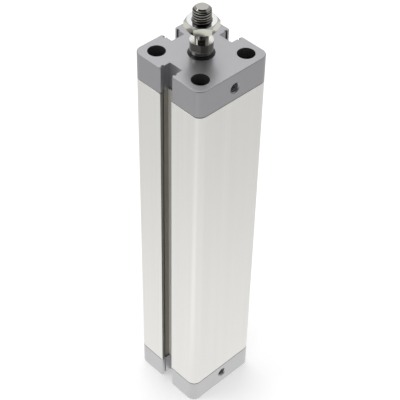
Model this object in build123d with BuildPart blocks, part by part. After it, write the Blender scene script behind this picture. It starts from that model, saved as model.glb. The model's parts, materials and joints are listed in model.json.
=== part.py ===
from build123d import *
import math
import os

# Compact pneumatic cylinder with a round rod. Millimetres, +Z along the rod, origin in the middle
# of the rear face. The ports are on the -Y side, the sensor slots on the other three sides.

# Profile and stroke
body_side = 40.0
body_corner_radius = 4.2
bore_diameter = 25.0
stroke = 160.0
screw_spacing = 26.0

# Covers
front_cap_height = 13.3
rear_cap_height = 13.0
spigot_length = 2.4
spigot_clearance = 0.05
cap_edge_round = 0.35
cap_joint_chamfer = 0.35

# Notches in the covers, in line with the sensor slots
notch_width = 6.9
notch_depth = 5.85
notch_mouth_round = 1.0
notch_groove_depth = 0.7
notch_groove_top = 1.5
notch_groove_height = 1.1

# Sensor slots in the barrel, on every side but the one with the ports
slot_count = 3
slot_mouth_width = 6.8
slot_mouth_round = 0.3
slot_lip = 1.5
slot_wing_width = 9.2
slot_wing_height = 1.1
slot_chamber_width = 7.8
slot_depth = 5.3
barrel_end_chamfer = 0.1

# Collar screws, hollow, with a mounting thread all through
screw_head_diameter = 7.4
screw_head_height = 4.5
screw_head_depth = 5.0
screw_head_clearance = 0.17
screw_shank_diameter = 6.4
screw_length = 16.0
screw_cap_clearance = 0.15
screw_thread_clearance = 0.05
screw_socket_size = 5.0
screw_socket_depth = 2.0
mounting_core_diameter = 4.2

# Supply ports
port_core_diameter = 4.2
port_sink_width = 0.6
port_sink_angle = 90.0
port_depth = 6.0
front_port_depth = 7.2
rear_port_height = 7.2
passage_diameter = 2.5
front_passage_diameter = 2.0
front_passage_wall = 0.25

# Rod
rod_diameter = 10.0
rod_running_clearance = 0.03
rod_shoulder_height = 6.5
wrench_flat_size = 9.0
wrench_flat_length = 3.8
wrench_flat_angle = 16.7
neck_undercut = 1.0
neck_length = 4.0
thread_diameter = 8.0
thread_pitch = 1.25
thread_length = 12.0
thread_tip_drop = 1.4
thread_tip_chamfer = 1.2
thread_start_chamfer = 0.7
thread_root_depth = 0.767
thread_crest_width = 0.156
thread_cut_over = 0.08
thread_flank_angle = 30.0
rod_spigot_diameter = 7.0
rod_spigot_setback = 0.2
rod_tapping_depth = 15.0

# Rod nut
nut_size = 13.0
nut_thickness = 4.0
nut_height = 12.2
nut_angle = 139.0
nut_face_inset = 0.25
nut_chamfer_angle = 30.0
nut_thread_clearance = 0.03
nut_sink = 0.35

# Rod wiper, rod seal and rod bush, all in the front cap
wiper_rim_width = 0.8
wiper_mouth_depth = 1.0
wiper_flange_width = 1.0
wiper_groove_depth = 3.6
wiper_rim_height = 0.45
wiper_rim_round = 0.3
wiper_lip_height = 1.0
wiper_lip_width = 0.3
wiper_relief = 0.4
seat_clearance = 0.05
rod_hole_clearance = 0.2
rod_seal_top = 4.4
rod_seal_height = 3.0
rod_seal_width = 2.4
bush_top = 8.2
bush_wall = 0.67

# Static seals between covers and barrel
o_ring_section = 1.2
o_ring_outer_clearance = 0.02
o_ring_groove_width = 1.4
o_ring_groove_clearance = 0.03

# Elastic end stops
cushion_inset = 0.7
cushion_width = 1.6
cushion_groove_depth = 1.4
cushion_proud = 0.4
cushion_clearance = 0.05
end_gap = 0.05

# Recess in the rear cap for the piston screw
recess_clearance = 0.7
recess_below_port = 0.95

# Piston
piston_length = 7.0
piston_rim_clearance = 0.3
piston_bore_clearance = 0.02
piston_seal_offset = 0.65
piston_groove_width = 1.7
piston_groove_depth = 2.3
piston_seal_clearance = 0.08
piston_seal_bore_gap = 0.07
guide_width = 1.6
guide_groove_depth = 0.85
guide_bore_gap = 0.05
guide_split = 0.8
part_clearance = 0.05
magnet_cover = 2.35
magnet_width = 2.5
magnet_thickness = 2.0
rod_ring_section = 1.0
rod_ring_clearance = 0.06

# Piston screw and its washer
piston_screw_diameter = 5.0
piston_screw_length = 13.0
piston_screw_head_diameter = 8.5
piston_screw_head_height = 3.5
piston_screw_socket_size = 4.0
piston_screw_socket_depth = 2.2
piston_screw_clearance = 0.05
washer_diameter = 9.6
washer_thickness = 0.8
washer_clearance = 0.1

# How near an edge or corner lies to the place where it is looked for
pick_tolerance = 0.01

# Places along the axis, worked out from the sizes
half_side = body_side / 2
bore_radius = bore_diameter / 2
rod_radius = rod_diameter / 2
barrel_bottom = rear_cap_height
inside_end = spigot_length + cushion_proud + end_gap
barrel_top = barrel_bottom + stroke + piston_length + 2 * inside_end
body_top = barrel_top + front_cap_height
front_spigot_face = barrel_top - spigot_length
rear_spigot_face = barrel_bottom + spigot_length
piston_bottom = barrel_bottom + inside_end
piston_middle = piston_bottom + piston_length / 2
piston_top = piston_bottom + piston_length
front_port_height = body_top - front_port_depth
rod_shoulder = body_top + rod_shoulder_height
neck_top = rod_shoulder + neck_length
rod_tip = neck_top + thread_length
nut_bottom = body_top + nut_height

# Radii that neighbours share
spigot_radius = bore_radius - spigot_clearance
o_ring_outer_radius = bore_radius - o_ring_outer_clearance
o_ring_floor_radius = o_ring_outer_radius - o_ring_section - o_ring_groove_clearance
bush_inner_radius = rod_radius + rod_running_clearance
bush_outer_radius = bush_inner_radius + bush_wall
cushion_inner_radius = bush_outer_radius + cushion_inset
cushion_outer_radius = cushion_inner_radius + cushion_width
front_passage_radius = front_passage_diameter / 2
front_passage_offset = cushion_outer_radius + cushion_clearance + front_passage_wall + front_passage_radius
wiper_mouth_radius = rod_radius + wiper_rim_width
wiper_groove_radius = wiper_mouth_radius + wiper_flange_width
rod_seal_radius = rod_radius + rod_seal_width
recess_radius = washer_diameter / 2 + recess_clearance
recess_floor = rear_port_height - passage_diameter / 2 - recess_below_port
rod_hole_radius = rod_radius + rod_hole_clearance
piston_rim_radius = bore_radius - piston_rim_clearance
piston_hole_radius = rod_spigot_diameter / 2 + piston_bore_clearance
rod_ring_radius = rod_spigot_diameter / 2 + rod_ring_clearance + rod_ring_section / 2
screw_head_radius = screw_head_diameter / 2
screw_shank_radius = screw_shank_diameter / 2
piston_groove_radius = piston_rim_radius - piston_groove_depth
guide_groove_radius = piston_rim_radius - guide_groove_depth
magnet_outer_radius = guide_groove_radius - magnet_cover
magnet_inner_radius = magnet_outer_radius - magnet_width
thread_radius = thread_diameter / 2


def revolve_outline(points, mode=Mode.ADD):
    """Turn a closed outline of (radius, height) points about the rod axis."""
    with BuildSketch(Plane.XZ) as outline:
        with BuildLine():
            Polyline(*points, close=True)
        make_face()
    revolve(outline.sketch, axis=Axis.Z, mode=mode)


def on_slot_mouth(vertex, width):
    """Tell whether a profile corner is a mouth corner of a slot or notch."""
    high = max(abs(vertex.X), abs(vertex.Y))
    low = min(abs(vertex.X), abs(vertex.Y))
    return abs(high - half_side) < pick_tolerance and abs(low - width / 2) < pick_tolerance


def cap_block(bottom, top):
    """Draw a cover's block, with its notches and rounded edges."""
    with BuildSketch(Plane.XY.offset(bottom)) as outline:
        RectangleRounded(body_side, body_side, body_corner_radius)
        with PolarLocations(half_side, slot_count, angular_range=180, endpoint=True):
            Rectangle(notch_depth, notch_width, align=(Align.MAX, Align.CENTER), mode=Mode.SUBTRACT)
        with PolarLocations(half_side - notch_groove_top, slot_count, angular_range=180, endpoint=True):
            Rectangle(
                notch_groove_height,
                notch_width + 2 * notch_groove_depth,
                align=(Align.MAX, Align.CENTER),
                mode=Mode.SUBTRACT,
            )
        corners = [v for v in outline.vertices() if on_slot_mouth(v, notch_width)]
        fillet(corners, radius=notch_mouth_round)
    extrude(outline.sketch, amount=top - bottom)


def cut_supply_port(height):
    """Drill a threaded supply port into the -Y face."""
    mouth = Plane(origin=(0, -half_side, height), x_dir=(1, 0, 0), z_dir=(0, -1, 0))
    with Locations(mouth):
        CounterSinkHole(
            port_core_diameter / 2,
            port_core_diameter / 2 + port_sink_width,
            port_depth,
            counter_sink_angle=port_sink_angle,
        )


def cut_passage(height, reach):
    """Drill the narrow passage from a port's floor towards the axis, up to reach."""
    mouth = Plane(origin=(0, port_depth - half_side, height), x_dir=(1, 0, 0), z_dir=(0, 1, 0))
    with BuildSketch(mouth) as section:
        Circle(passage_diameter / 2)
    extrude(section.sketch, amount=half_side - port_depth - reach, mode=Mode.SUBTRACT)


def o_ring_groove(middle):
    """Give the outline of the groove that holds a cover's static seal."""
    low = middle - o_ring_groove_width / 2
    high = middle + o_ring_groove_width / 2
    return [
        (o_ring_floor_radius, low),
        (bore_radius, low),
        (bore_radius, high),
        (o_ring_floor_radius, high),
    ]


def ring_outline(inner, outer, low, high):
    """Give the outline of a plain ring."""
    return [(inner, low), (outer, low), (outer, high), (inner, high)]


# Barrel: extruded profile with the bore, four screw channels and three sensor slots
with BuildPart() as barrel:
    with BuildSketch(Plane.XY.offset(barrel_bottom)) as barrel_profile:
        RectangleRounded(body_side, body_side, body_corner_radius)
        Circle(bore_radius, mode=Mode.SUBTRACT)
        with GridLocations(screw_spacing, screw_spacing, 2, 2):
            Circle(screw_shank_radius + screw_thread_clearance, mode=Mode.SUBTRACT)
        with PolarLocations(half_side, slot_count, angular_range=180, endpoint=True):
            Rectangle(slot_lip, slot_mouth_width, align=(Align.MAX, Align.CENTER), mode=Mode.SUBTRACT)
        with PolarLocations(half_side - slot_lip, slot_count, angular_range=180, endpoint=True):
            Rectangle(
                slot_depth - slot_lip,
                slot_chamber_width,
                align=(Align.MAX, Align.CENTER),
                mode=Mode.SUBTRACT,
            )
            Rectangle(
                slot_wing_height, slot_wing_width, align=(Align.MAX, Align.CENTER), mode=Mode.SUBTRACT
            )
        mouth_corners = [v for v in barrel_profile.vertices() if on_slot_mouth(v, slot_mouth_width)]
        fillet(mouth_corners, radius=slot_mouth_round)
    extrude(amount=barrel_top - barrel_bottom)
    end_faces = barrel.faces().filter_by(Axis.Z).sort_by(Axis.Z)
    chamfer(end_faces[0].outer_wire().edges() + end_faces[-1].outer_wire().edges(), barrel_end_chamfer)
barrel.part.label = "barrel"

# Front cap: carries the wiper, the rod seal and the bush, and the front port
with BuildPart() as front_cap:
    cap_block(barrel_top, body_top)
    fillet(front_cap.faces().sort_by(Axis.Z)[-1].outer_wire().edges(), radius=cap_edge_round)
    chamfer(front_cap.faces().sort_by(Axis.Z)[0].outer_wire().edges(), cap_joint_chamfer)
    revolve_outline(ring_outline(0, spigot_radius, front_spigot_face, barrel_top))
    revolve_outline(o_ring_groove(barrel_top - spigot_length / 2), Mode.SUBTRACT)
    revolve_outline(
        [
            (0, body_top),
            (wiper_mouth_radius + seat_clearance, body_top),
            (wiper_mouth_radius + seat_clearance, body_top - wiper_mouth_depth),
            (wiper_groove_radius + seat_clearance, body_top - wiper_mouth_depth),
            (wiper_groove_radius + seat_clearance, body_top - wiper_groove_depth),
            (rod_hole_radius, body_top - wiper_groove_depth),
            (rod_hole_radius, body_top - rod_seal_top),
            (rod_seal_radius + seat_clearance, body_top - rod_seal_top),
            (rod_seal_radius + seat_clearance, body_top - rod_seal_top - rod_seal_height),
            (rod_hole_radius, body_top - rod_seal_top - rod_seal_height),
            (rod_hole_radius, body_top - bush_top),
            (bush_outer_radius, body_top - bush_top),
            (bush_outer_radius, front_spigot_face),
            (0, front_spigot_face),
        ],
        Mode.SUBTRACT,
    )
    revolve_outline(
        ring_outline(
            cushion_inner_radius - cushion_clearance,
            cushion_outer_radius + cushion_clearance,
            front_spigot_face,
            front_spigot_face + cushion_groove_depth,
        ),
        Mode.SUBTRACT,
    )
    with Locations(Plane.XY.offset(body_top)):
        with GridLocations(screw_spacing, screw_spacing, 2, 2):
            CounterBoreHole(
                screw_shank_radius + screw_cap_clearance,
                screw_head_radius + screw_head_clearance,
                screw_head_depth + screw_head_height,
            )
    cut_supply_port(front_port_height)
    cut_passage(front_port_height, front_passage_offset)
    with BuildSketch(Plane.XY.offset(front_spigot_face)):
        with Locations((0, -front_passage_offset)):
            Circle(front_passage_radius)
    extrude(amount=front_port_height - front_spigot_face, mode=Mode.SUBTRACT)
front_cap.part.label = "front_cap"

# Rear cap: closes the barrel and holds the rear port
with BuildPart() as rear_cap:
    cap_block(0, barrel_bottom)
    fillet(rear_cap.faces().sort_by(Axis.Z)[0].outer_wire().edges(), radius=cap_edge_round)
    chamfer(rear_cap.faces().sort_by(Axis.Z)[-1].outer_wire().edges(), cap_joint_chamfer)
    revolve_outline(ring_outline(0, spigot_radius, barrel_bottom, rear_spigot_face))
    revolve_outline(o_ring_groove(barrel_bottom + spigot_length / 2), Mode.SUBTRACT)
    revolve_outline(ring_outline(0, recess_radius, recess_floor, rear_spigot_face), Mode.SUBTRACT)
    revolve_outline(
        ring_outline(
            cushion_inner_radius - cushion_clearance,
            cushion_outer_radius + cushion_clearance,
            rear_spigot_face - cushion_groove_depth,
            rear_spigot_face,
        ),
        Mode.SUBTRACT,
    )
    rear_face = Plane(origin=(0, 0, 0), x_dir=(1, 0, 0), z_dir=(0, 0, -1))
    with Locations(rear_face):
        with GridLocations(screw_spacing, screw_spacing, 2, 2):
            CounterBoreHole(
                screw_shank_radius + screw_cap_clearance,
                screw_head_radius + screw_head_clearance,
                screw_head_depth + screw_head_height,
            )
    cut_supply_port(rear_port_height)
    cut_passage(rear_port_height, 0)
rear_cap.part.label = "rear_cap"


def collar_screws(head_face):
    """Draw four hollow collar screws, with their heads towards the plane's normal."""
    with Locations(head_face):
        with GridLocations(screw_spacing, screw_spacing, 2, 2):
            Cylinder(
                screw_head_radius, screw_head_height, align=(Align.CENTER, Align.CENTER, Align.MAX)
            )
            Cylinder(
                screw_shank_radius, screw_length, align=(Align.CENTER, Align.CENTER, Align.MAX)
            )
            Hole(mounting_core_diameter / 2)
    with BuildSketch(head_face) as sockets:
        with GridLocations(screw_spacing, screw_spacing, 2, 2):
            RegularPolygon(screw_socket_size / 2, 6, major_radius=False)
    extrude(sockets.sketch, amount=-screw_socket_depth, mode=Mode.SUBTRACT)


# Collar screws: they pull the caps onto the barrel and carry the mounting threads
with BuildPart() as front_collar_screws:
    collar_screws(Plane.XY.offset(body_top - screw_head_depth))
front_collar_screws.part.label = "front_collar_screws"

with BuildPart() as rear_collar_screws:
    collar_screws(Plane(origin=(0, 0, screw_head_depth), x_dir=(1, 0, 0), z_dir=(0, 0, -1)))
rear_collar_screws.part.label = "rear_collar_screws"

# Static seals between the cap spigots and the bore
seal_heights = {
    "front_cap_o_ring": barrel_top - spigot_length / 2,
    "rear_cap_o_ring": barrel_bottom + spigot_length / 2,
}
cap_o_rings = []
for ring_name, ring_height in seal_heights.items():
    with BuildPart() as cap_o_ring:
        with BuildSketch(Plane.XZ):
            with Locations((o_ring_outer_radius - o_ring_section / 2, ring_height)):
                Circle(o_ring_section / 2)
        revolve(axis=Axis.Z)
    cap_o_ring.part.label = ring_name
    cap_o_rings.append(cap_o_ring.part)

# Elastic end stops, in the faces of the spigots
cushion_heights = {
    "front_cushion_ring": (front_spigot_face - cushion_proud, front_spigot_face + cushion_groove_depth),
    "rear_cushion_ring": (rear_spigot_face - cushion_groove_depth, rear_spigot_face + cushion_proud),
}
cushion_rings = []
for ring_name, (ring_bottom, ring_top) in cushion_heights.items():
    with BuildPart() as cushion_ring:
        revolve_outline(ring_outline(cushion_inner_radius, cushion_outer_radius, ring_bottom, ring_top))
    cushion_ring.part.label = ring_name
    cushion_rings.append(cushion_ring.part)

# Rod bush: plain bearing, flush with the spigot's face
with BuildPart() as rod_bush:
    revolve_outline(
        ring_outline(bush_inner_radius, bush_outer_radius, front_spigot_face, body_top - bush_top)
    )
rod_bush.part.label = "rod_bush"

# Rod wiper: its lip stands out of the cap and hugs the rod
with BuildPart() as rod_wiper:
    wiper_inner = rod_radius + rod_running_clearance
    revolve_outline(
        [
            (wiper_inner, body_top + wiper_lip_height),
            (wiper_inner + wiper_lip_width, body_top + wiper_lip_height),
            (wiper_inner + wiper_relief, body_top + wiper_rim_height),
            (wiper_mouth_radius - wiper_rim_round, body_top + wiper_rim_height),
            (wiper_mouth_radius, body_top + wiper_rim_height - wiper_rim_round),
            (wiper_mouth_radius, body_top - wiper_mouth_depth - seat_clearance),
            (wiper_groove_radius, body_top - wiper_mouth_depth - seat_clearance),
            (wiper_groove_radius, body_top - wiper_groove_depth + seat_clearance),
            (wiper_inner + wiper_relief, body_top - wiper_groove_depth + seat_clearance),
            (wiper_inner + wiper_relief, body_top - wiper_mouth_depth),
            (wiper_inner, body_top),
        ]
    )
rod_wiper.part.label = "rod_wiper"

# Rod seal: lip seal, open towards the bore
with BuildPart() as rod_seal:
    seal_inner = rod_radius + rod_running_clearance
    seal_outer = rod_seal_radius
    seal_middle = (seal_inner + seal_outer) / 2
    seal_high = body_top - rod_seal_top - seat_clearance
    seal_low = body_top - rod_seal_top - rod_seal_height + seat_clearance
    revolve_outline(
        [
            (seal_inner + wiper_relief / 2, seal_high),
            (seal_outer, seal_high),
            (seal_outer, seal_low),
            (seal_outer - wiper_relief, seal_low),
            (seal_middle, (seal_high + seal_low) / 2),
            (seal_inner + wiper_relief, seal_low),
            (seal_inner, seal_low),
        ]
    )
rod_seal.part.label = "rod_seal"

# Piston rod: spigot for the piston, round rod, wrench flats, undercut and male thread
with BuildPart() as piston_rod:
    revolve_outline(
        [
            (0, piston_bottom + rod_spigot_setback),
            (rod_spigot_diameter / 2, piston_bottom + rod_spigot_setback),
            (rod_spigot_diameter / 2, piston_top),
            (rod_radius, piston_top),
            (rod_radius, rod_shoulder),
            (thread_radius - neck_undercut, rod_shoulder),
            (thread_radius - neck_undercut, neck_top),
            (thread_radius, neck_top),
            (thread_radius, rod_tip),
            (0, rod_tip),
        ]
    )
    with BuildSketch(Plane.XY.offset(rod_shoulder - wrench_flat_length)):
        Circle(rod_diameter)
        Rectangle(wrench_flat_size, 2 * rod_diameter, rotation=wrench_flat_angle, mode=Mode.SUBTRACT)
    extrude(amount=wrench_flat_length, mode=Mode.SUBTRACT)
    with BuildSketch(Plane.XY.offset(piston_bottom + rod_spigot_setback)):
        Circle(piston_screw_diameter / 2 + piston_screw_clearance)
    extrude(amount=rod_tapping_depth, mode=Mode.SUBTRACT)
    # The thread is a groove of trapezoid section, cut along a helix from the neck past the tip
    groove_slope = math.tan(math.radians(thread_flank_angle))
    groove_crest_half = (thread_pitch - thread_crest_width) / 2
    groove_outer_half = groove_crest_half + thread_cut_over * groove_slope
    groove_root_half = groove_crest_half - thread_root_depth * groove_slope
    groove_start = neck_top - thread_pitch / 2
    groove_outer = thread_radius + thread_cut_over
    groove_root = thread_radius - thread_root_depth
    with BuildLine():
        groove_length = rod_tip + thread_pitch - groove_start
        groove_path = Helix(thread_pitch, groove_length, thread_radius, (0, 0, groove_start))
    with BuildSketch(Plane.XZ):
        with BuildLine():
            Polyline(
                (groove_root, groove_start - groove_root_half),
                (groove_outer, groove_start - groove_outer_half),
                (groove_outer, groove_start + groove_outer_half),
                (groove_root, groove_start + groove_root_half),
                close=True,
            )
        make_face()
    sweep(path=groove_path, is_frenet=True, mode=Mode.SUBTRACT)
    # Both ends of the thread are chamfered after it is cut
    revolve_outline(
        [
            (thread_radius - thread_tip_drop, rod_tip),
            (thread_radius, rod_tip - thread_tip_chamfer),
            (thread_diameter, rod_tip - thread_tip_chamfer),
            (thread_diameter, rod_tip),
        ],
        Mode.SUBTRACT,
    )
    revolve_outline(
        [
            (thread_radius - thread_start_chamfer, neck_top),
            (thread_diameter, neck_top),
            (thread_diameter, neck_top + thread_start_chamfer),
            (thread_radius, neck_top + thread_start_chamfer),
        ],
        Mode.SUBTRACT,
    )
piston_rod.part.label = "piston_rod"

# Rod nut: thin hexagon nut with chamfered corners
with BuildPart() as rod_nut:
    with BuildSketch(Plane.XY.offset(nut_bottom)):
        RegularPolygon(nut_size / 2, 6, major_radius=False, rotation=nut_angle)
    extrude(amount=nut_thickness)
    nut_corner_radius = nut_size / 2 / math.cos(math.pi / 6)
    nut_face_radius = nut_size / 2 - nut_face_inset
    nut_chamfer = (nut_corner_radius - nut_face_radius) * math.tan(math.radians(nut_chamfer_angle))
    revolve_outline(
        [
            (0, nut_bottom),
            (nut_face_radius, nut_bottom),
            (nut_corner_radius, nut_bottom + nut_chamfer),
            (nut_corner_radius, nut_bottom + nut_thickness - nut_chamfer),
            (nut_face_radius, nut_bottom + nut_thickness),
            (0, nut_bottom + nut_thickness),
        ],
        Mode.INTERSECT,
    )
    nut_bore_radius = thread_radius + nut_thread_clearance
    with BuildSketch(Plane.XY.offset(nut_bottom)):
        Circle(nut_bore_radius)
    extrude(amount=nut_thickness, mode=Mode.SUBTRACT)
    bore_edges = [
        edge
        for edge in rod_nut.edges().filter_by(GeomType.CIRCLE)
        if abs(edge.radius - nut_bore_radius) < pick_tolerance
    ]
    chamfer(bore_edges, nut_sink)
rod_nut.part.label = "rod_nut"


def piston_half(outer_face, inward):
    """Draw one piston half from its outer face to the parting face, inward being 1 or -1."""
    parting = outer_face + inward * piston_length / 2
    groove_near = outer_face + inward * piston_seal_offset
    groove_far = groove_near + inward * piston_groove_width
    guide_near = parting - inward * guide_width / 2
    magnet_near = parting - inward * (magnet_thickness / 2 + part_clearance)
    magnet_inner = magnet_inner_radius - part_clearance
    magnet_outer = magnet_outer_radius + part_clearance
    revolve_outline(
        [
            (piston_hole_radius, outer_face),
            (piston_rim_radius, outer_face),
            (piston_rim_radius, groove_near),
            (piston_groove_radius, groove_near),
            (piston_groove_radius, groove_far),
            (piston_rim_radius, groove_far),
            (piston_rim_radius, guide_near),
            (guide_groove_radius, guide_near),
            (guide_groove_radius, parting),
            (magnet_outer, parting),
            (magnet_outer, magnet_near),
            (magnet_inner, magnet_near),
            (magnet_inner, parting),
            (piston_hole_radius, parting),
        ]
    )


def piston_seal(outer_face, inward):
    """Draw one piston lip seal, open towards the outer face."""
    lip_face = outer_face + inward * (piston_seal_offset + part_clearance)
    heel_face = outer_face + inward * (piston_seal_offset + piston_groove_width - part_clearance)
    inner = piston_groove_radius + piston_seal_clearance
    outer = bore_radius - piston_seal_bore_gap
    middle = (inner + outer) / 2
    revolve_outline(
        [
            (inner, heel_face),
            (piston_rim_radius, heel_face),
            (outer, lip_face),
            (outer - wiper_relief, lip_face),
            (middle, (lip_face + heel_face) / 2),
            (inner + wiper_relief, lip_face),
            (inner, lip_face),
        ]
    )


# Piston: two halves that part in the middle and hold the magnet between them
with BuildPart() as piston_rear_half:
    piston_half(piston_bottom, 1)
piston_rear_half.part.label = "piston_rear_half"

with BuildPart() as piston_front_half:
    piston_half(piston_top, -1)
    revolve_outline(
        ring_outline(
            0,
            rod_ring_radius + rod_ring_section / 2 + rod_ring_clearance,
            piston_top - rod_ring_section - rod_ring_clearance,
            piston_top,
        ),
        Mode.SUBTRACT,
    )
piston_front_half.part.label = "piston_front_half"

with BuildPart() as piston_rear_seal:
    piston_seal(piston_bottom, 1)
piston_rear_seal.part.label = "piston_rear_seal"

with BuildPart() as piston_front_seal:
    piston_seal(piston_top, -1)
piston_front_seal.part.label = "piston_front_seal"

# Guide ring: split band in the middle of the piston
with BuildPart() as piston_guide_ring:
    guide_half = guide_width / 2 - part_clearance
    revolve_outline(
        ring_outline(
            guide_groove_radius + piston_seal_clearance,
            bore_radius - guide_bore_gap,
            piston_middle - guide_half,
            piston_middle + guide_half,
        )
    )
    with BuildSketch(Plane.XY.offset(piston_middle - guide_half)):
        with Locations((bore_radius, 0)):
            Rectangle(bore_radius, guide_split)
    extrude(amount=2 * guide_half, mode=Mode.SUBTRACT)
piston_guide_ring.part.label = "piston_guide_ring"

with BuildPart() as piston_magnet:
    revolve_outline(
        ring_outline(
            magnet_inner_radius,
            magnet_outer_radius,
            piston_middle - magnet_thickness / 2,
            piston_middle + magnet_thickness / 2,
        )
    )
piston_magnet.part.label = "piston_magnet"

# Static seal between piston and rod, under the rod's shoulder
with BuildPart() as piston_o_ring:
    with BuildSketch(Plane.XZ):
        with Locations((rod_ring_radius, piston_top - rod_ring_section / 2)):
            Circle(rod_ring_section / 2)
    revolve(axis=Axis.Z)
piston_o_ring.part.label = "piston_o_ring"

with BuildPart() as piston_washer:
    revolve_outline(
        ring_outline(
            piston_screw_diameter / 2 + washer_clearance,
            washer_diameter / 2,
            piston_bottom - washer_thickness,
            piston_bottom,
        )
    )
piston_washer.part.label = "piston_washer"

# Piston screw: socket head screw that clamps the piston against the rod's shoulder
with BuildPart() as piston_screw:
    head_top = piston_bottom - washer_thickness
    head_bottom = head_top - piston_screw_head_height
    revolve_outline(
        [
            (0, head_bottom),
            (piston_screw_head_diameter / 2, head_bottom),
            (piston_screw_head_diameter / 2, head_top),
            (piston_screw_diameter / 2, head_top),
            (piston_screw_diameter / 2, head_top + piston_screw_length),
            (0, head_top + piston_screw_length),
        ]
    )
    with BuildSketch(Plane.XY.offset(head_bottom)):
        RegularPolygon(piston_screw_socket_size / 2, 6, major_radius=False)
    extrude(amount=piston_screw_socket_depth, mode=Mode.SUBTRACT)
piston_screw.part.label = "piston_screw"

pieces = [
    barrel.part,
    front_cap.part,
    rear_cap.part,
    front_collar_screws.part,
    rear_collar_screws.part,
    *cap_o_rings,
    *cushion_rings,
    rod_bush.part,
    rod_wiper.part,
    rod_seal.part,
    piston_rod.part,
    rod_nut.part,
    piston_rear_half.part,
    piston_front_half.part,
    piston_rear_seal.part,
    piston_front_seal.part,
    piston_guide_ring.part,
    piston_magnet.part,
    piston_o_ring.part,
    piston_washer.part,
    piston_screw.part,
]
os.makedirs("parts", exist_ok=True)
for piece in pieces:
    export_step(piece, f"parts/{piece.label}.step")
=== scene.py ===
"""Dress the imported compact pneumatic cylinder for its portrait.

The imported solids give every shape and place. This script gives each of them its finish, adds the small
forms that the solids leave out, and sets the floor, the light and the camera of the photograph.
Lengths are in metres and the rod points along +Z.
"""

from __future__ import annotations

import json
import logging
import math
from dataclasses import dataclass
from enum import Enum
from typing import Any, Protocol, Union

import bpy
from mathutils import Matrix, Vector

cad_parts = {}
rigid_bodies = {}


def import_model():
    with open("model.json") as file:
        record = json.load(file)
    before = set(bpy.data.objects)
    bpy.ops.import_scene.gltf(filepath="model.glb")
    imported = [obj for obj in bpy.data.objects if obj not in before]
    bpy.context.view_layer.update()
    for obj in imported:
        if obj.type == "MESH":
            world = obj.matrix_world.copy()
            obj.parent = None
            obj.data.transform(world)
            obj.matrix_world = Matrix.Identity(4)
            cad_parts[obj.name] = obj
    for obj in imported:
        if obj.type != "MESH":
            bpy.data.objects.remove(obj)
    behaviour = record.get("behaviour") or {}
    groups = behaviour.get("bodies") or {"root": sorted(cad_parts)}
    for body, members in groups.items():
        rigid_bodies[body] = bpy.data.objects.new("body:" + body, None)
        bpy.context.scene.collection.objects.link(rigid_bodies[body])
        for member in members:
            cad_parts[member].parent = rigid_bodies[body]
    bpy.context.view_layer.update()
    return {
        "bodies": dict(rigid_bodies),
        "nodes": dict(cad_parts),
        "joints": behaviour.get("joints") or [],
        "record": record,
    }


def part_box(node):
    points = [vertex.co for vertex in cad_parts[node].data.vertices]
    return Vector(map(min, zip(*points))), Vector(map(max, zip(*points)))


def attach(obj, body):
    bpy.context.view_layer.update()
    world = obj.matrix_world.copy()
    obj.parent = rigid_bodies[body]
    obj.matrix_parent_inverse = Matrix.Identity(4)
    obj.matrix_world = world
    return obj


LOG = logging.getLogger("cylinder")
MM = 0.001
NOISE_MIDDLE = 0.5

Colour = tuple[float, float, float]
Place = tuple[float, float, float]
Number = Union[float, "Value"]
Paint = Union[Colour, bpy.types.NodeSocket]


class Node(str, Enum):
    """Shader nodes that the finishes use."""

    COORDINATES = "ShaderNodeTexCoord"
    MAPPING = "ShaderNodeMapping"
    NOISE = "ShaderNodeTexNoise"
    SPLIT = "ShaderNodeSeparateXYZ"
    MATHS = "ShaderNodeMath"
    VECTOR_MATHS = "ShaderNodeVectorMath"
    RANGE = "ShaderNodeMapRange"
    MIX = "ShaderNodeMix"
    BUMP = "ShaderNodeBump"
    LIGHT_PATH = "ShaderNodeLightPath"
    PRINCIPLED = "ShaderNodeBsdfPrincipled"
    EMISSION = "ShaderNodeEmission"
    ADD_SHADER = "ShaderNodeAddShader"
    MIX_SHADER = "ShaderNodeMixShader"
    BACKGROUND = "ShaderNodeBackground"
    SURFACE = "ShaderNodeOutputMaterial"
    WORLD = "ShaderNodeOutputWorld"


class Value:
    """A socket that takes part in Python sums, each of which adds one Math node."""

    def __init__(self, tree: "Tree", socket: bpy.types.NodeSocket) -> None:
        """Keep the tree and the socket.

        Args:
            tree: The node tree that the socket belongs to.
            socket: The output socket that carries the number.
        """
        self.tree = tree
        self.socket = socket

    def __add__(self, other: Number) -> "Value":
        """Return this plus other."""
        return self.tree.maths("ADD", self, other)

    def __radd__(self, other: Number) -> "Value":
        """Return other plus this."""
        return self.tree.maths("ADD", other, self)

    def __sub__(self, other: Number) -> "Value":
        """Return this minus other."""
        return self.tree.maths("SUBTRACT", self, other)

    def __rsub__(self, other: Number) -> "Value":
        """Return other minus this."""
        return self.tree.maths("SUBTRACT", other, self)

    def __mul__(self, other: Number) -> "Value":
        """Return this times other."""
        return self.tree.maths("MULTIPLY", self, other)

    def __rmul__(self, other: Number) -> "Value":
        """Return other times this."""
        return self.tree.maths("MULTIPLY", other, self)

    def __lt__(self, other: Number) -> "Value":
        """Return 1 where this is less than other, else 0."""
        return self.tree.maths("LESS_THAN", self, other)

    def __abs__(self) -> "Value":
        """Return this without its sign."""
        return self.tree.maths("ABSOLUTE", self)


def linear(red: int, green: int, blue: int) -> Colour:
    """Turn a screen colour of 0 to 255 into linear light, by the sRGB curve.

    Args:
        red: Red level.
        green: Green level.
        blue: Blue level.

    Returns:
        The linear colour.
    """

    def one(level: int) -> float:
        """Turn one level into linear light."""
        share = level / 255.0
        return share / 12.92 if share <= 0.04045 else ((share + 0.055) / 1.055) ** 2.4

    return one(red), one(green), one(blue)


def scaled(colour: Colour, factor: float) -> Colour:
    """Return a colour made lighter or darker by a factor."""
    return colour[0] * factor, colour[1] * factor, colour[2] * factor


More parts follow.
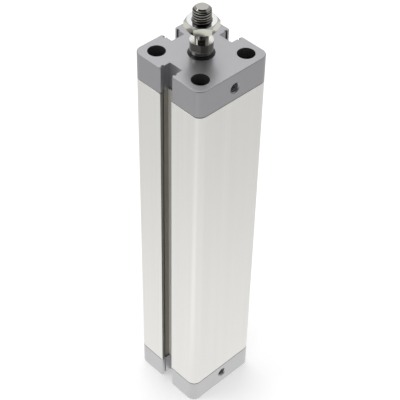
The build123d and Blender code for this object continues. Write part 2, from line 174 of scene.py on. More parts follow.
def swing(noise: Value, depth: float) -> Value:
    """Return noise swung about zero, so that it adds or takes away up to half the depth."""
    return depth * (noise - NOISE_MIDDLE)


@dataclass(frozen=True)
class Grain:
    """Size of a noise pattern: waves per metre along each axis, and its number of finer layers."""

    x: float
    y: float
    z: float
    layers: float

    @classmethod
    def even(cls, waves: float, layers: float) -> "Grain":
        """Return a grain that is the same along all axes."""
        return cls(waves, waves, waves, layers)


class Tree:
    """A node tree that is filled by calls instead of by hand."""

    def __init__(self, node_tree: bpy.types.NodeTree) -> None:
        """Empty the tree.

        Args:
            node_tree: The material's or world's node tree.
        """
        self.nodes = node_tree.nodes
        self.links = node_tree.links
        self.nodes.clear()

    def add(self, kind: Node, settings: dict[str, Any] | None = None, **inputs: Any) -> bpy.types.Node:
        """Add one node.

        Args:
            kind: The node's type.
            settings: Properties of the node, set before its sockets.
            **inputs: Values or links by socket name, with spaces written as underscores, or by number
                as s0, s1 and so on.

        Returns:
            The new node.
        """
        node = self.nodes.new(kind.value)
        for name, value in (settings or {}).items():
            setattr(node, name, value)
        for name, value in inputs.items():
            key: Any = int(name[1:]) if name[0] == "s" and name[1:].isdigit() else name.replace("_", " ")
            self.feed(node.inputs[key], value)
        return node

    def feed(self, socket: bpy.types.NodeSocket, value: Any) -> None:
        """Link or set one input socket.

        Args:
            socket: The input socket.
            value: A Value, an output socket, or a constant.
        """
        if isinstance(value, Value):
            self.links.new(value.socket, socket)
        elif isinstance(value, bpy.types.NodeSocket):
            self.links.new(value, socket)
        else:
            socket.default_value = value

    def maths(self, operation: str, first: Number, second: Number = 0.0) -> Value:
        """Return the result of one Math node.

        Args:
            operation: The node's operation.
            first: Its first number.
            second: Its second number.

        Returns:
            The node's result.
        """
        node = self.add(Node.MATHS, {"operation": operation}, s0=first, s1=second)
        return Value(self, node.outputs[0])

    def remap(self, value: Value, low: float, high: float, start: float, end: float) -> Value:
        """Stretch a number smoothly from one range to another.

        Args:
            value: The number.
            low: Start of its own range.
            high: End of its own range.
            start: Result at low.
            end: Result at high.

        Returns:
            The stretched number, held inside start and end.
        """
        settings = {"interpolation_type": "SMOOTHSTEP"}
        node = self.add(Node.RANGE, settings, s0=value, s1=low, s2=high, s3=start, s4=end)
        return Value(self, node.outputs[0])

    def place(self) -> tuple[Value, Value, Value]:
        """Return the object's own X, Y and Z."""
        split = self.add(Node.SPLIT, s0=self.add(Node.COORDINATES).outputs["Object"])
        return Value(self, split.outputs[0]), Value(self, split.outputs[1]), Value(self, split.outputs[2])

    def noise(self, grain: Grain) -> Value:
        """Return noise over the object's own coordinates.

        Args:
            grain: Size of the pattern.

        Returns:
            The noise, 0 to 1.
        """
        place = self.add(Node.COORDINATES).outputs["Object"]
        stretched = self.add(Node.MAPPING, Vector=place, Scale=(grain.x, grain.y, grain.z)).outputs[0]
        node = self.add(Node.NOISE, Vector=stretched, Scale=1.0, Detail=grain.layers)
        return Value(self, node.outputs[0])

    def tint(self, amount: Number, dark: Paint, light: Paint) -> bpy.types.NodeSocket:
        """Mix two colours.

        Args:
            amount: 0 gives dark and 1 gives light.
            dark: First colour, linear, or a colour socket.
            light: Second colour, linear, or a colour socket.

        Returns:
            The mixed colour's socket.
        """
        first, second = (
            paint if isinstance(paint, bpy.types.NodeSocket) else (*paint, 1.0) for paint in (dark, light)
        )
        node = self.add(Node.MIX, {"data_type": "RGBA"}, s0=amount, s6=first, s7=second)
        return node.outputs[2]

    def shade(self, amount: Number, colour: Colour, dark: float, light: float) -> bpy.types.NodeSocket:
        """Return tones of one colour.

        Args:
            amount: 0 gives the dark tone and 1 gives the light tone.
            colour: The colour, linear.
            dark: Factor of the dark tone.
            light: Factor of the light tone.

        Returns:
            The toned colour's socket.
        """
        return self.tint(amount, scaled(colour, dark), scaled(colour, light))

    def bump(self, height: Value, distance: float) -> bpy.types.NodeSocket:
        """Return the normal of a bumpy surface.

        Args:
            height: Height, 0 to 1.
            distance: Real height of 1, in metres.

        Returns:
            The normal's socket.
        """
        return self.add(Node.BUMP, Strength=1.0, Distance=distance, Height=height).outputs[0]

    def close(self, shader: bpy.types.Node) -> None:
        """Link a shader to the material's output."""
        self.add(Node.SURFACE, Surface=shader.outputs[0])

    def surface(
        self,
        colour: bpy.types.NodeSocket,
        roughness: Value,
        metallic: float,
        normal: bpy.types.NodeSocket,
    ) -> None:
        """Close a material with one Principled shader.

        Args:
            colour: Its base colour.
            roughness: Its roughness.
            metallic: 1 for metal, 0 for rubber and plastic.
            normal: The normal of its bumps.
        """
        shader = self.add(
            Node.PRINCIPLED, Base_Color=colour, Roughness=roughness, Metallic=metallic, Normal=normal
        )
        self.close(shader)


def new_material(name: str) -> tuple[bpy.types.Material, Tree]:
    """Make an empty material.

    Args:
        name: The material's name.

    Returns:
        The material and its tree.
    """
    material = bpy.data.materials.new(name)
    material.use_nodes = True
    return material, Tree(material.node_tree)


class Finish(Protocol):
    """What each finish below can do."""

    def build(self) -> bpy.types.Material:
        """Return the material."""


@dataclass(frozen=True)
class AnodisedProfile:
    """Extruded aluminium, natural anodised, with fine drawing lines along the rod axis.

    Its sensor slots are duller, with painted shade on their walls and painted light on their floors.
    """

    half_side: float
    slot_depth: float = 5.3 * MM
    slot_reach: float = 5.5 * MM
    slot_fade: float = 0.5 * MM
    slot_margin: float = 0.05 * MM
    colour: Colour = linear(227, 226, 222)
    # Painted shade on the slot walls and painted light on the slot floors.
    slot_wall_painted_shade: Colour = linear(163, 161, 154)
    slot_floor_painted_light: Colour = linear(252, 251, 245)
    lines: Grain = Grain(2600.0, 2600.0, 9.0, layers=2.0)
    bands: Grain = Grain(420.0, 420.0, 9.0, layers=2.0)
    clouds: Grain = Grain.even(28.0, layers=3.0)
    line_share: float = 0.40
    band_share: float = 0.35
    cloud_share: float = 0.25
    dark_tone: float = 0.90
    light_tone: float = 1.08
    roughness: float = 0.36
    line_roughness: float = 0.12
    cloud_roughness: float = 0.06
    slot_roughness: float = 0.25
    metallic: float = 0.82
    line_height: float = 0.0035 * MM
    band_rise: float = 0.6

    def slot_masks(self, tree: Tree) -> tuple[Value, Value]:
        """Find the sensor slots.

        Args:
            tree: The material's tree.

        Returns:
            1 inside a slot, and 1 on a slot's floor.
        """
        x, y, _ = tree.place()
        across = tree.maths("MAXIMUM", abs(x), abs(y))
        along = tree.maths("MINIMUM", abs(x), abs(y))
        start = self.half_side - self.slot_margin
        sunk = tree.remap(across, self.half_side - self.slot_fade, start, 1.0, 0.0)
        floor = self.half_side - self.slot_depth + self.slot_margin
        return sunk * (along < self.slot_reach), across < floor

    def build(self) -> bpy.types.Material:
        """Make the material.

        Returns:
            The finished material.
        """
        material, tree = new_material("anodised_profile")
        lines = tree.noise(self.lines)
        bands = tree.noise(self.bands)
        clouds = tree.noise(self.clouds)
        tone = self.line_share * lines + self.band_share * bands + self.cloud_share * clouds
        face = tree.shade(tone, self.colour, self.dark_tone, self.light_tone)
        in_slot, on_floor = self.slot_masks(tree)
        # Painted shade on the slot walls, and painted light on their floors.
        slot = tree.tint(on_floor, self.slot_wall_painted_shade, self.slot_floor_painted_light)
        roughness = self.roughness + swing(lines, self.line_roughness) + swing(clouds, self.cloud_roughness)
        tree.surface(
            colour=tree.tint(in_slot, face, slot),
            roughness=roughness + self.slot_roughness * in_slot,
            metallic=self.metallic,
            normal=tree.bump(lines + self.band_rise * bands, self.line_height),
        )
        return material


@dataclass(frozen=True)
class CastCover:
    """Die-cast cover with a fine blasted grain under a thin satin coat.

    It carries painted shade inside its screw holes and along the joint with the barrel.
    """

    name: str
    colour: Colour
    joint: float
    hole_place: float
    hole_radius: float
    hole_margin: float = 0.03 * MM
    # Painted shade inside the screw holes.
    hole_painted_shade: float = 0.45
    joint_width: float = 0.37 * MM
    # Painted shade along the joint with the barrel.
    joint_painted_shade: float = 0.30
    grain: Grain = Grain.even(2100.0, layers=2.0)
    clouds: Grain = Grain.even(90.0, layers=4.0)
    grain_share: float = 0.6
    cloud_share: float = 0.4
    dark_tone: float = 0.86
    light_tone: float = 1.12
    roughness: float = 0.33
    grain_roughness: float = 0.08
    cloud_roughness: float = 0.06
    metallic: float = 0.75
    grain_height: float = 0.006 * MM

    def build(self) -> bpy.types.Material:
        """Make the material.

        Returns:
            The finished material.
        """
        material, tree = new_material(self.name)
        grain = tree.noise(self.grain)
        clouds = tree.noise(self.clouds)
        tone = self.grain_share * grain + self.cloud_share * clouds
        colour = tree.shade(tone, self.colour, self.dark_tone, self.light_tone)
        x, y, height = tree.place()
        off_x = abs(x) - self.hole_place
        off_y = abs(y) - self.hole_place
        in_hole = off_x * off_x + off_y * off_y < (self.hole_radius + self.hole_margin) ** 2
        at_joint = abs(height - self.joint) < self.joint_width
        # Painted shade inside the screw holes.
        colour = tree.tint(in_hole, colour, scaled(self.colour, self.hole_painted_shade))
        uneven = swing(grain, self.grain_roughness) + swing(clouds, self.cloud_roughness)
        # Painted shade along the joint with the barrel.
        tree.surface(
            colour=tree.tint(at_joint, colour, scaled(self.colour, self.joint_painted_shade)),
            roughness=self.roughness + uneven,
            metallic=self.metallic,
            normal=tree.bump(grain, self.grain_height),
        )
        return material


@dataclass(frozen=True)
class PaintedHighlightFace:
    """Level face with a painted highlight: its height, and the roughness that is added there."""

    height: float
    added_roughness: float = 0.0


@dataclass(frozen=True)
class BrightSteel:
    """Ground or plated steel that mirrors its surroundings, with fine turning lines round the axis."""

    name: str
    colour: Colour
    roughness: float
    # Level faces that get a painted highlight colour.
    painted_highlight_faces: tuple[PaintedHighlightFace, ...] = ()
    painted_highlight_colour: Colour = linear(200, 199, 194)
    painted_highlight_reach: float = 0.06 * MM
    lines: Grain = Grain(90.0, 90.0, 5200.0, layers=1.0)
    clouds: Grain = Grain.even(260.0, layers=3.0)
    line_share: float = 0.5
    dark_tone: float = 0.90
    line_swing: float = 0.3
    cloud_swing: float = 0.2
    line_height: float = 0.0008 * MM

    def work(
        self, tree: Tree, colour: bpy.types.NodeSocket, roughness: Value
    ) -> tuple[bpy.types.NodeSocket, Value]:
        """Paint a highlight on the level faces, and add their roughness there.

        Args:
            tree: The material's tree.
            colour: Colour of the ground or plated steel.
            roughness: Its roughness.

        Returns:
            The colour and the roughness with the highlighted faces in them.
        """
        height = tree.place()[2]
        for face in self.painted_highlight_faces:
            # Painted highlight on each level face.
            painted_highlight = abs(height - face.height) < self.painted_highlight_reach
            colour = tree.tint(painted_highlight, colour, self.painted_highlight_colour)
            roughness = roughness + face.added_roughness * painted_highlight
        return colour, roughness

    def build(self) -> bpy.types.Material:
        """Make the material.

        Returns:
            The finished material.
        """
        material, tree = new_material(self.name)
        lines = tree.noise(self.lines)
        clouds = tree.noise(self.clouds)
        tone = self.line_share * lines + (1.0 - self.line_share) * clouds
        ground = tree.shade(tone, self.colour, self.dark_tone, 1.0)
        uneven = 1.0 + swing(lines, self.line_swing) + swing(clouds, self.cloud_swing)
        colour, roughness = self.work(tree, ground, self.roughness * uneven)
        tree.surface(colour, roughness, metallic=1.0, normal=tree.bump(lines, self.line_height))
        return material


@dataclass(frozen=True, kw_only=True)
class RodSteel(BrightSteel):
    """Ground steel of the rod, whose cut thread has painted shade in its roots and on its lower flanks,
    rising to a painted highlight at its end.
    """

    tip: float
    thread_length: float
    tip_chamfer: float = 0.84 * MM
    root_radius: float = 3.75 * MM
    # Painted shade in the thread roots, and painted shade on the flanks that rises to a painted highlight at
    # the tip.
    root_painted_shade: float = 0.22
    low_painted_shade: float = 0.45
    high_painted_highlight: float = 1.15
    thread_roughness: float = 0.02

    def work(
        self, tree: Tree, colour: bpy.types.NodeSocket, roughness: Value
    ) -> tuple[bpy.types.NodeSocket, Value]:
        """Paint shade and a highlight on the thread, and highlights on the level faces.

        Args:
            tree: The material's tree.
            colour: Colour of the ground steel.
            roughness: Its roughness.

        Returns:
            The colour and the roughness with the thread and the highlighted faces in them.
        """
        x, y, height = tree.place()
        thread_start = self.tip - self.thread_length
        rise = tree.remap(height, thread_start, self.tip, 0.0, 1.0)
        # Painted shade low on the thread rising to a painted highlight at its end, and painted shade in its
        # roots.
        flank = tree.shade(rise, self.colour, self.low_painted_shade, self.high_painted_highlight)
        in_root = (x * x + y * y < self.root_radius**2) * (height < self.tip - self.tip_chamfer)
        thread = tree.tint(in_root, flank, scaled(self.colour, self.root_painted_shade))
        cut = 1.0 - (height < thread_start)
        return super().work(tree, tree.tint(cut, colour, thread), roughness + self.thread_roughness * cut)


@dataclass(frozen=True)
class Moulded:
    """Rubber or moulded plastic with a faint skin."""

    name: str
    colour: Colour
    roughness: float
    grain: Grain = Grain.even(1500.0, layers=3.0)
    dark_tone: float = 0.75
    light_tone: float = 1.3
    grain_roughness: float = 0.14
    grain_height: float = 0.008 * MM

    def build(self) -> bpy.types.Material:
        """Make the material.

        Returns:
            The finished material.
        """
        material, tree = new_material(self.name)
        grain = tree.noise(self.grain)
        tree.surface(
            colour=tree.shade(grain, self.colour, self.dark_tone, self.light_tone),
            roughness=self.roughness + swing(grain, self.grain_roughness),
            metallic=0.0,
            normal=tree.bump(grain, self.grain_height),
        )
        return material


@dataclass(frozen=True)
class TurnedMetal:
    """Machined metal of the inner pieces, with tool marks round the axis."""

    name: str
    colour: Colour
    roughness: float
    lines: Grain = Grain(120.0, 120.0, 3000.0, layers=2.0)
    dark_tone: float = 0.85
    light_tone: float = 1.1
    line_roughness: float = 0.1
    line_height: float = 0.002 * MM

    def build(self) -> bpy.types.Material:
        """Make the material.

        Returns:
            The finished material.
        """
        material, tree = new_material(self.name)
        lines = tree.noise(self.lines)
        tree.surface(
            colour=tree.shade(lines, self.colour, self.dark_tone, self.light_tone),
            roughness=self.roughness + swing(lines, self.line_roughness),
            metallic=1.0,
            normal=tree.bump(lines, self.line_height),
        )
        return material


def deselect_all() -> None:
    """Leave edit mode and deselect every object."""
    if bpy.context.object is not None and bpy.context.object.mode != "OBJECT":
        bpy.ops.object.mode_set(mode="OBJECT")
    bpy.ops.object.select_all(action="DESELECT")


def own_copy(piece: bpy.types.Object) -> bpy.types.Object:
    """Copy a piece and its mesh.

    Args:
        piece: The piece.

    Returns:
        The copy, with a mesh of its own.
    """
    twin = piece.copy()
    twin.data = piece.data.copy()
    bpy.context.collection.objects.link(twin)
    return twin


@dataclass(frozen=True)
class TappedHole:
    """Tapped hole: the name of its thread, the middle of its mouth, and the way into it."""

    thread: str
    mouth: Vector
    inward: Vector


@dataclass(frozen=True)
class HelicalThread:
    """Internal thread of one size, as a ridge that winds along the wall of each of its holes.

    The ridge has a three-cornered section, whose base is sunk a little into the wall.
    """

    wall_radius: float
    depth: float
    pitch: float = 0.8 * MM
    ridge: float = 0.26 * MM
    sink: float = 0.05 * MM
    flank_share: float = 0.45
    steps: int = 36

    def add_section(self) -> bpy.types.Object:
        """Draw the ridge's section, standing beside +Z with its crest towards it.

        Returns:
            A piece with the section alone in it.
        """
        width = self.ridge + self.sink
        centre = (self.wall_radius + self.sink - width / 3, 0.0, 0.0)
        upright = (math.pi / 2, -math.pi / 2, 0.0)
        deselect_all()
        bpy.ops.mesh.primitive_circle_add(
            vertices=3, radius=width * 2 / 3, location=centre, rotation=upright
        )
        piece = bpy.context.object
        bpy.ops.object.transform_apply(location=True, rotation=True, scale=False)
        bpy.ops.object.mode_set(mode="EDIT")
        bpy.ops.mesh.select_all(action="SELECT")
        half_base = width / math.sqrt(3.0)
        stretch = self.flank_share * self.pitch / half_base
        bpy.ops.transform.resize(value=(1.0, 1.0, stretch), center_override=centre)
        bpy.ops.object.mode_set(mode="OBJECT")
        return piece

    def wind(self, piece: bpy.types.Object) -> None:
        """Wind the section about +Z.

        Args:
            piece: The piece with the section in it.
        """
        winding = piece.modifiers.new("winding", "SCREW")
        winding.axis = "Z"
        winding.screw_offset = self.pitch
        winding.iterations = max(1, int(self.depth / self.pitch) - 1)
        winding.steps = self.steps
        winding.render_steps = self.steps
        winding.use_merge_vertices = False
        bpy.ops.object.modifier_apply(modifier=winding.name)

    def close_ends(self) -> None:
        """Close both ends of the wound ridge, and turn its faces outwards."""
        bpy.ops.object.mode_set(mode="EDIT")
        bpy.ops.mesh.select_all(action="DESELECT")
        bpy.ops.mesh.select_non_manifold(
            extend=False, use_wire=False, use_boundary=True, use_multi_face=False, use_non_contiguous=False
        )
        bpy.ops.mesh.edge_face_add()
        bpy.ops.mesh.select_all(action="SELECT")
        bpy.ops.mesh.normals_make_consistent(inside=False)
        bpy.ops.object.mode_set(mode="OBJECT")

    def model(self) -> bpy.types.Object:
        """Model the ridge, winding up +Z from the origin.

        Returns:
            The finished ridge.
        """
        piece = self.add_section()
        self.wind(piece)
        self.close_ends()
        for polygon in piece.data.polygons:
            polygon.use_smooth = True
        return piece

    def seat(self, piece: bpy.types.Object, hole: TappedHole) -> None:
        """Move a ridge into its hole, one pitch below the mouth.

        Args:
            piece: The ridge, as it was modelled.
            hole: The hole.
        """
        turn = Vector((0, 0, 1)).rotation_difference(hole.inward).to_matrix().to_4x4()
        start = hole.mouth + hole.inward * self.pitch
        piece.data.transform(Matrix.Translation(start) @ turn)
        piece.name = hole.thread
        LOG.info("thread %s: %d polygons", piece.name, len(piece.data.polygons))

    def build(self, holes: list[TappedHole], body: str, slot: str, material: bpy.types.Material) -> None:
        """Model the ridge once, and seat it or a copy of it in each hole.

        Args:
            holes: The holes.
            body: Body that the ridges ride on.
            slot: Material slot of the record; not used.
            material: Finish of the ridges.
        """
        first = self.model()
        first.data.materials.append(material)
        pieces = [first, *(own_copy(first) for _ in holes[1:])]
        for piece, hole in zip(pieces, holes):
            self.seat(piece, hole)
            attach(piece, body)


@dataclass
class Cylinder:
    """The whole cylinder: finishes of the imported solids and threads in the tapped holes."""

    frame: dict[str, Any]
    thread_length: float = 12.0 * MM
    neck_length: float = 4.0 * MM
    wrench_flat_length: float = 3.8 * MM
    screw_hole_radius: float = 3.87 * MM
    port_clearance: float = 0.2 * MM
    bolt_depth: float = 8.0 * MM

    def mount(self, name: str) -> dict[str, Any]:
        """Return one mount of the record."""
        return next(entry for entry in self.frame["record"]["mounts"] if entry["name"] == name)

    def cover(self, name: str, colour: Colour, joint: float) -> CastCover:
        """Return a cover's finish.

        Args:
            name: The material's name.
            colour: The cover's colour.
            joint: Height of its joint with the barrel.

        Returns:
            The finish, with painted shade in the holes of the screws and along the joint.
        """
        screw_place = self.mount("front_bolts")["dims"]["spacing_x_mm"] * MM / 2
        return CastCover(name, colour, joint, screw_place, self.screw_hole_radius)

    def rod_steel(self) -> RodSteel:
        """Choose the rod's finish, with a painted highlight on the shoulder and on the satin ledge under
        each wrench flat.

        Returns:
            The finish.
        """
        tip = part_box("piston_rod")[1][2]
        shoulder = tip - self.thread_length - self.neck_length
        ledge = shoulder - self.wrench_flat_length
        return RodSteel(
            "rod_steel",
            linear(165, 163, 158),
            roughness=0.07,
            painted_highlight_faces=(PaintedHighlightFace(shoulder, added_roughness=0.12), PaintedHighlightFace(ledge, added_roughness=0.6)),
            tip=tip,
            thread_length=self.thread_length,
        )

    def nut_steel(self) -> BrightSteel:
        """Choose the nut's finish, with a painted highlight on its top and on the chamfer there.

        Returns:
            The finish.
        """
        return BrightSteel(
            "nut_steel",
            linear(224, 223, 211),
            roughness=0.12,
            painted_highlight_faces=(PaintedHighlightFace(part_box("rod_nut")[1][2]),),
            painted_highlight_colour=linear(220, 221, 220),
            painted_highlight_reach=0.5 * MM,
            dark_tone=0.84,
        )

    def slot_finishes(self) -> dict[str, Finish]:
        """Choose the finish of each slot of the record.

        Returns:
            The finishes by slot name.
        """
        half_side, _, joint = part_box("barrel")[1]
        return {
            "anodised_profile": AnodisedProfile(half_side),
            "cast_cover": self.cover("cast_cover", linear(157, 156, 159), joint),
            "rod_steel": self.rod_steel(),
            "nut_steel": self.nut_steel(),
            "screw_steel": TurnedMetal("screw_steel", linear(92, 91, 89), roughness=0.35),
            "seal_rubber": Moulded("seal_rubber", linear(20, 20, 21), roughness=0.35),
            "cushion_rubber": Moulded("cushion_rubber", linear(38, 40, 46), roughness=0.51),
            "bush_bronze": TurnedMetal("bush_bronze", linear(176, 138, 92), roughness=0.4),
            "piston_aluminium": TurnedMetal("piston_aluminium", linear(205, 205, 203), roughness=0.3),
            "guide_plastic": Moulded("guide_plastic", linear(190, 178, 150), roughness=0.51),
            "magnet_compound": Moulded("magnet_compound", linear(52, 52, 55), roughness=0.61),
        }

    def piece_finishes(self) -> dict[str, Finish]:
        """Return the finishes of single solids that differ from their slot's."""
        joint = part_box("barrel")[0][2]
        # Painted light: the rear cap is the same cast cover in a lighter copy.
        return {"rear_cap": self.cover("cast_cover_painted_light", linear(191, 191, 192), joint)}

    def dress_solids(self, materials: dict[str, bpy.types.Material]) -> None:
        """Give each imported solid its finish.

        Args:
            materials: Materials by slot name.
        """
        special = {name: finish.build() for name, finish in self.piece_finishes().items()}
        for entry in self.frame["record"]["subparts"]:
            node = self.frame["nodes"][entry["node"]]
            for slot in node.material_slots:
                slot.material = special.get(entry["node"], materials[entry["material_slot"]])
            LOG.info("solid %s: %s", entry["node"], entry["material_slot"])

    def thread_ports(self, material: bpy.types.Material) -> None:
        """Add the threads of both supply ports, which are of one size.

        Args:
            material: Finish of the covers.
        """
        size = self.mount("front_port")["dims"]
        depth = size["length_mm"] * MM - self.port_clearance
        holes = []
        for name in ("front_port", "rear_port"):
            entry = self.mount(name)
            axis = Vector(entry["axis"])
            mouth = Vector(entry["pos_m"]) + axis * (depth / 2)
            holes.append(TappedHole(f"{name}_thread", mouth, -axis))
        HelicalThread(size["r_mm"] * MM, depth).build(holes, "cylinder", "cast_cover", material)

    def thread_bolt_holes(self, material: bpy.types.Material) -> None:
        """Add the mounting threads inside the collar screws of both ends, which are of one size.

        Args:
            material: Finish of the screws.
        """
        size = self.mount("front_bolts")["dims"]
        half_x = size["spacing_x_mm"] * MM / 2
        half_y = size["spacing_y_mm"] * MM / 2
        corners = ((-half_x, -half_y), (half_x, -half_y), (half_x, half_y), (-half_x, half_y))
        holes = []
        for name in ("front_bolts", "rear_bolts"):
            entry = self.mount(name)
            centre = Vector(entry["pos_m"])
            for count, (x, y) in enumerate(corners, start=1):
                mouth = centre + Vector((x, y, 0))
                holes.append(TappedHole(f"{name}_thread_{count}", mouth, -Vector(entry["axis"])))
        thread = HelicalThread(size["hole_r_mm"] * MM, self.bolt_depth)
        thread.build(holes, "cylinder", "screw_steel", material)

    def build(self) -> None:
        """Dress the solids and add the threads."""
        materials = {slot: finish.build() for slot, finish in self.slot_finishes().items()}
        self.dress_solids(materials)
        self.thread_ports(materials["cast_cover"])
        self.thread_bolt_holes(materials["screw_steel"])


@dataclass(frozen=True)
class Viewpoint:
    """Camera of the photograph, with its angles in degrees and its lens and sensor in millimetres.

    beside, above and ahead give the place of the middle of the cylinder's foot as the camera sees it.
    """

    azimuth: float = 44.579
    pitch: float = 43.587
    roll: float = 1.291
    beside: float = -2.70 * MM
    above: float = -83.47 * MM
    ahead: float = 619.84 * MM
    lens: float = 105.954
    sensor: float = 36.0
    nearest: float = 0.01
    furthest: float = 50.0

    def axes(self) -> tuple[Vector, Vector, Vector]:
        """Work out how the camera is turned.

        Returns:
            Its right, up and forward directions.
        """
        azimuth, pitch, roll = (math.radians(angle) for angle in (self.azimuth, self.pitch, self.roll))
        forward = Vector(
            (math.sin(azimuth) * math.cos(pitch), math.cos(azimuth) * math.cos(pitch), -math.sin(pitch))
        )
        level = Vector((math.cos(azimuth), -math.sin(azimuth), 0.0))
        upright = level.cross(forward)
        right = level * math.cos(roll) + upright * math.sin(roll)
        up = upright * math.cos(roll) - level * math.sin(roll)
        return right, up, forward

    def place_camera(self) -> None:
        """Put the camera where the photograph was taken from."""
        right, up, forward = self.axes()
        place = -(right * self.beside + up * self.above + forward * self.ahead)
        data = bpy.data.cameras.new("portrait_camera")
        data.sensor_fit = "HORIZONTAL"
        data.sensor_width = self.sensor
        data.lens = self.lens
        data.clip_start = self.nearest
        data.clip_end = self.furthest
        camera = bpy.data.objects.new("portrait_camera", data)
        turn = Matrix((right, up, -forward)).transposed().to_4x4()
        camera.matrix_world = Matrix.Translation(place) @ turn
        bpy.context.scene.collection.objects.link(camera)
        bpy.context.scene.camera = camera


@dataclass(frozen=True)
class Floor:
    """Pale floor that the camera sees as white.

    Mirrors see it brighter near the cylinder, and along a streak that leads away from it. The streak is
    turned by streak_turn degrees from -X towards -Y.
    """

    size: float = 6.0
    tone: float = 0.82
    roughness: float = 0.9
    lift: float = 0.32
    glow_centre: Place = (-0.05, -0.05, 0.0)
    inner_glow: float = 1.12
    outer_glow: float = 0.86
    inner_radius: float = 0.04
    outer_radius: float = 0.28
    streak_glow: float = 0.25
    streak_turn: float = 20.0
    streak_width: float = 0.05
    streak_start: float = 0.02
    streak_full: float = 0.12

    def glow(self, tree: Tree) -> Value:
        """Return the brightness that mirrors see.

        Args:
            tree: The material's tree.

        Returns:
            The brightness, 1 for white.
        """
        place = tree.add(Node.COORDINATES).outputs["Object"]
        measure = tree.add(Node.VECTOR_MATHS, {"operation": "DISTANCE"}, s0=place, s1=self.glow_centre)
        away = Value(tree, measure.outputs["Value"])
        pool = tree.remap(away, self.inner_radius, self.outer_radius, self.inner_glow, self.outer_glow)
        x, y, _ = tree.place()
        turn = math.radians(self.streak_turn)
        along = x * -math.cos(turn) - y * math.sin(turn)
        beside = abs(x * math.sin(turn) - y * math.cos(turn))
        streak = tree.remap(beside, 0.0, self.streak_width, self.streak_glow, 0.0)
        return pool + streak * tree.remap(along, self.streak_start, self.streak_full, 0.0, 1.0)

    def material(self) -> bpy.types.Material:
        """Make the floor's material.

        Returns:
            The finished material.
        """
        material, tree = new_material("floor_white")
        path = tree.add(Node.LIGHT_PATH)
        camera_ray = Value(tree, path.outputs["Is Camera Ray"])
        colour = (self.tone, self.tone, self.tone, 1.0)
        matt = tree.add(Node.PRINCIPLED, Base_Color=colour, Roughness=self.roughness, Specular_IOR_Level=0.0)
        lift = tree.add(Node.EMISSION, Strength=self.lift * camera_ray)
        seen = tree.add(Node.ADD_SHADER, s0=matt.outputs[0], s1=lift.outputs[0])
        mirrored = tree.add(Node.EMISSION, Strength=self.glow(tree))
        glossy_ray = path.outputs["Is Glossy Ray"]
        tree.close(tree.add(Node.MIX_SHADER, s0=glossy_ray, s1=seen.outputs[0], s2=mirrored.outputs[0]))
        return material

    def lay(self) -> None:
        """Lay the floor under the cylinder."""
        deselect_all()
        bpy.ops.mesh.primitive_plane_add(size=self.size, location=(0, 0, 0))
        floor = bpy.context.object
        floor.name = "floor"
        floor.data.materials.append(self.material())


class Side(Enum):
    """Sides of the sky, as factors of the level direction from the cylinder to the camera."""

    CAMERA = 1.0
    FAR = -1.0


@dataclass(frozen=True)
class SkyPatch:
    """Soft round patch of the sky that mirrors see.

    Its height over the horizon is in degrees. It ends where the cosine of the angle from its middle is
    edge, and is full where that is core. Its strength is added to the sky's.
    """

    side: Side
    height: float
    edge: float
    core: float
    strength: float

    def light(self, tree: Tree, azimuth: float) -> Value:
        """Return what the patch adds to the sky.

        Args:
            tree: The world's tree.
            azimuth: Azimuth that the camera looks along, in radians.

        Returns:
            The strength in the middle and 0 outside.
        """
        rise = math.radians(self.height)
        reach = self.side.value * math.cos(rise)
        middle = (-reach * math.sin(azimuth), -reach * math.cos(azimuth), math.sin(rise))
        direction = tree.add(Node.COORDINATES).outputs["Generated"]
        dot = tree.add(Node.VECTOR_MATHS, {"operation": "DOT_PRODUCT"}, s0=direction, s1=middle)
        return self.strength * tree.remap(Value(tree, dot.outputs["Value"]), self.edge, self.core, 0.0, 1.0)


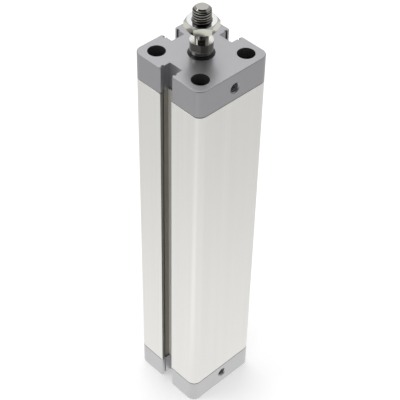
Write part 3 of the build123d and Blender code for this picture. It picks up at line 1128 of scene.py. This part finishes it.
@dataclass(frozen=True)
class Sky:
    """White surroundings, which mirrors see bright on the far side and dark on the camera's side."""

    strength: float = 0.80
    mirrored_strength: float = 0.55
    bright: SkyPatch = SkyPatch(Side.FAR, height=44.0, edge=0.76, core=0.95, strength=0.56)
    dark: SkyPatch = SkyPatch(Side.CAMERA, height=40.0, edge=0.50, core=0.73, strength=-0.53)

    def surround(self, azimuth: float) -> None:
        """Set the world.

        Args:
            azimuth: Azimuth that the camera looks along, in radians.
        """
        world = bpy.data.worlds.new("studio")
        world.use_nodes = True
        bpy.context.scene.world = world
        tree = Tree(world.node_tree)
        path = tree.add(Node.LIGHT_PATH)
        camera_ray = Value(tree, path.outputs["Is Camera Ray"])
        glossy_ray = Value(tree, path.outputs["Is Glossy Ray"])
        mirrored = self.mirrored_strength + self.bright.light(tree, azimuth) + self.dark.light(tree, azimuth)
        lit = glossy_ray * mirrored + (1.0 - glossy_ray) * self.strength
        strength = camera_ray + (1.0 - camera_ray) * lit
        sky = tree.add(Node.BACKGROUND, Color=(1.0, 1.0, 1.0, 1.0), Strength=strength)
        tree.add(Node.WORLD, Surface=sky.outputs[0])


@dataclass(frozen=True)
class Softbox:
    """Square lamp: where it stands, the side of its face, and its power in watts."""

    name: str
    place: Place
    size: float
    power: float

    def hang(self, aim: Place) -> None:
        """Add the lamp to the scene.

        Args:
            aim: Point that it looks at.
        """
        data = bpy.data.lights.new(self.name, "AREA")
        data.shape = "SQUARE"
        data.size = self.size
        data.energy = self.power
        lamp = bpy.data.objects.new(self.name, data)
        turn = (Vector(aim) - Vector(self.place)).to_track_quat("-Z", "Y").to_matrix().to_4x4()
        lamp.matrix_world = Matrix.Translation(Vector(self.place)) @ turn
        bpy.context.scene.collection.objects.link(lamp)


@dataclass
class Studio:
    """Floor, surroundings, lamps and camera."""

    floor: Floor = Floor()
    sky: Sky = Sky()
    view: Viewpoint = Viewpoint()
    lamps: tuple[Softbox, ...] = (
        Softbox("left_softbox", (-1.3, 0.9, 1.3), size=0.8, power=5.0),
        Softbox("top_softbox", (0.5, 0.9, 1.8), size=1.2, power=6.0),
    )
    lamp_aim: Place = (0.0, 0.0, 0.15)

    def build(self) -> None:
        """Set the whole studio."""
        self.floor.lay()
        self.sky.surround(math.radians(self.view.azimuth))
        for lamp in self.lamps:
            lamp.hang(self.lamp_aim)
        self.view.place_camera()
        bpy.context.scene.view_settings.view_transform = "Standard"
        LOG.info("studio: floor, sky, %d lamps and camera", len(self.lamps))


def main() -> None:
    """Build the studio and the dressed cylinder."""
    logging.basicConfig(level=logging.INFO, format="%(name)s: %(message)s")
    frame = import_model()
    Studio().build()
    Cylinder(frame).build()


if __name__ == "__main__":
    main()
